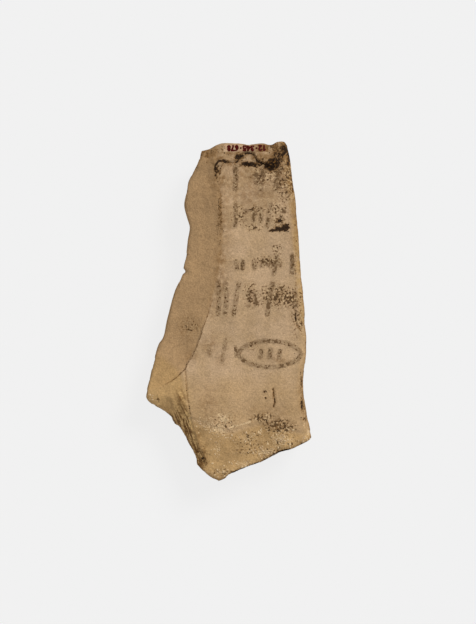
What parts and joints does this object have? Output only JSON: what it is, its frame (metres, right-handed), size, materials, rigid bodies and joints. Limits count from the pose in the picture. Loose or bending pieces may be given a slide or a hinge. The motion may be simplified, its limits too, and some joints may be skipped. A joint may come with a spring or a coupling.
{
  "type": "ostracon",
  "caption": "Struck limestone flake with a flat written face, a long scar down its left side and a pointed toe, lying on its back.",
  "frame": {"origin": "middle of the length and width, on the plane that the flake's back rests on", "axes": "+Z out of the written face, +Y along the length towards the head, +X to the right of the written face"},
  "size_m": [0.0683, 0.1403, 0.0211],
  "materials": {
    "limestone": "matt, fine-grained tan limestone, browner on its scars and broken edges"
  },
  "bodies": {
    "root": {"limestone_flake": "limestone"}
  },
  "joints": []
}
